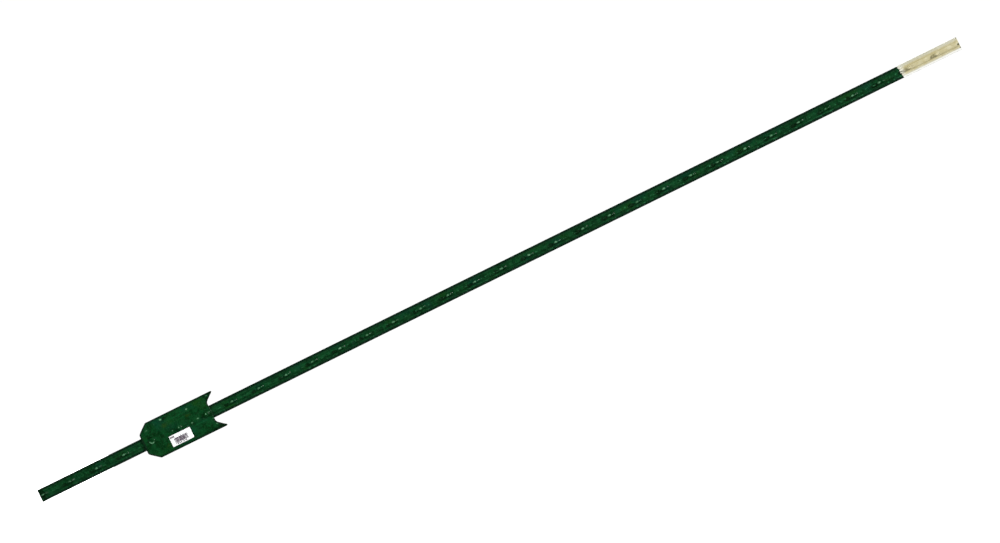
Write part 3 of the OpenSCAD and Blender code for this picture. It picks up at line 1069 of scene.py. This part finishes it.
def make_label():
    """The paper label: a thin closed sheet with round corners, some bubbles and a lifted corner."""
    columns = [0.0, 0.3, 0.8, 1.5, *np.linspace(3.0, 26.0, 12), 27.5, 28.2, 28.7, 29.0]
    columns = np.array(columns)
    rows = np.linspace(0.0, 1.0, 34)
    width, height = LABEL_HIGH[0] - LABEL_LOW[0], LABEL_HIGH[2] - LABEL_LOW[2]
    across = np.tile(columns * width / columns[-1], (len(rows), 1))
    from_side = np.clip(np.minimum(across, width - across), 0.0, LABEL_CORNER)
    arc = np.sqrt(np.maximum(LABEL_CORNER**2 - (LABEL_CORNER - from_side) ** 2, 0.0))
    inset = LABEL_CORNER - arc
    along = inset + (height - 2 * inset) * rows[:, None]
    x, z = LABEL_LOW[0] + across, LABEL_LOW[2] + along
    still = np.zeros_like(x)
    place = stacked(x, still, z)
    bubbles = 0.16 * np.maximum(wobble(place, 7.0, 41), 0.0) + 0.05 * wobble(place, 2.5, 42)
    to_corner = np.hypot(across - width, along - height)
    lift = LABEL_LIFT * (1.0 - smoothstep(0.0, 11.0, to_corner)) ** 1.5
    surface = plate_front(x, z)
    front = surface - LABEL_THICK - bubbles.reshape(x.shape) - lift
    back = surface + 0.15 - lift * 0.98
    points = np.concatenate([stacked(x, front, z), stacked(x, back, z)])

    from_end = np.minimum(along, height - along)
    from_rim = np.minimum(np.minimum(across, width - across), from_end).ravel()
    facts = {
        "label_mm": np.tile(stacked(along, across, still), (2, 1)),
        "edge": np.tile(1.0 - smoothstep(0.0, 0.8, from_rim), 2),
    }
    faces = closed_sheet_faces(*x.shape)
    return add_mesh("barcode_label_paper", points, faces, LABEL_PAPER, attributes=facts)


# ---------------------------------------------------------------- put the pieces in place

bar = make_bar()
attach(bar, "root")
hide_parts("t_post_bar")

coat = make_tip_coat()
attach(coat, "root")
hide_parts("white_tip_coat")

plate = make_plate()
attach(plate, "root")
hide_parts("anchor_plate")

for number, node in enumerate(RIVET_NODES):
    rivet = make_rivet(node + "_headed", RIVET_BOXES[number], number + 1, with_crescent=number == 0)
    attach(rivet, "root")
    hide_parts(node)

label = make_label()
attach(label, "root")
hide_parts("barcode_label")


# ---------------------------------------------------------------- floor, light and camera


def make_floor():
    """A round pale floor that the post stands on, with a chamfered rim."""
    radius, thick, sides = 2.2, 0.02, 96
    profile = [(radius - 0.01, 0.0), (radius, -0.006), (radius, -thick)]
    points = [(0.0, 0.0, 0.0)]
    for r, z in profile:
        for j in range(sides):
            a = 2 * math.pi * j / sides
            points.append((r * math.cos(a), r * math.sin(a), z))
    faces = [(0, 1 + j, 1 + (j + 1) % sides) for j in range(sides)]
    for i in range(len(profile) - 1):
        a, b = 1 + i * sides, 1 + (i + 1) * sides
        for j in range(sides):
            k = (j + 1) % sides
            faces.append((a + j, b + j, b + k, a + k))
    floor = add_mesh("studio_floor", np.array(points) / MM, faces, floor_paint(), smooth=False)
    floor.visible_diffuse = False
    floor.visible_glossy = False
    floor.visible_shadow = False


# Name, direction that it shines in, strength, softness in degrees, and whether gloss mirrors it
SUNS = (
    ("key", (0.22, 0.48, -0.85), 4.7, 8, True),
    ("low_fill", (0.10, 0.42, 0.90), 3.0, 30, False),
    ("front_left", (0.30, 1.0, -0.20), 0.05, 14, True),
    ("front_right", (-0.34, 1.0, -0.20), 0.10, 14, True),
    ("side_fill", (-0.95, 0.22, -0.10), 0.5, 30, False),
    ("back_key", (-0.40, -0.62, -0.68), 5.0, 14, True),
    ("back_fill", (0.55, -0.80, -0.20), 2.2, 35, True),
)


def add_sun(name, towards, strength, soft_degrees, mirrored):
    """A soft sun."""
    data = bpy.data.lights.new(name, "SUN")
    data.energy = strength
    data.angle = math.radians(soft_degrees)
    light = bpy.data.objects.new(name, data)
    light.rotation_mode = "QUATERNION"
    light.rotation_quaternion = Vector(towards).to_track_quat("-Z", "Y")
    light.visible_glossy = mirrored
    bpy.context.scene.collection.objects.link(light)


def make_world():
    """Pure white behind the object, and a much dimmer room for the light that falls on it."""
    world = bpy.data.worlds.new("studio")
    world.use_nodes = True
    tree = world.node_tree
    tree.nodes.clear()
    path = tree.nodes.new("ShaderNodeLightPath")
    mix = tree.nodes.new("ShaderNodeMixShader")
    output = tree.nodes.new("ShaderNodeOutputWorld")
    tree.links.new(path.outputs["Is Camera Ray"], mix.inputs["Fac"])
    tree.links.new(mix.outputs[0], output.inputs["Surface"])
    room, seen = (rgb(0.96, 0.98, 1.0), 0.05), (rgb(1.0, 1.0, 1.0), 1.05)
    for socket, (colour, strength) in ((1, room), (2, seen)):
        background = tree.nodes.new("ShaderNodeBackground")
        background.inputs["Color"].default_value = colour
        background.inputs["Strength"].default_value = strength
        tree.links.new(background.outputs[0], mix.inputs[socket])
    bpy.context.scene.world = world


def make_camera():
    """The photograph's view: square on to the studded face from far away, with the post aslant.

    The post rises from the lower left to the upper right, at tilt above the horizontal. Lengths
    are in metres, and frame_width is what the frame takes in at the post.
    """
    tilt = math.radians(26.24)
    distance = 12.0
    frame_width = 2.3805
    look_at = Vector((0.0044, 0.0, 1.2184))
    right = Vector((math.sin(tilt), 0.0, math.cos(tilt)))
    up = Vector((-math.cos(tilt), 0.0, math.sin(tilt)))
    back = Vector((0.0, -1.0, 0.0))
    data = bpy.data.cameras.new("photo_camera")
    data.sensor_width = 36.0
    data.lens = data.sensor_width * distance / frame_width
    data.clip_start, data.clip_end = 0.1, 100.0
    camera = bpy.data.objects.new("photo_camera", data)
    turn = Matrix((right, up, back)).transposed().to_4x4()
    camera.matrix_world = Matrix.Translation(look_at + back * distance) @ turn
    bpy.context.scene.collection.objects.link(camera)
    bpy.context.scene.camera = camera


make_floor()
make_world()
for sun in SUNS:
    add_sun(*sun)
make_camera()
bpy.context.scene.view_settings.view_transform = "Standard"
bpy.context.scene.view_settings.look = "None"
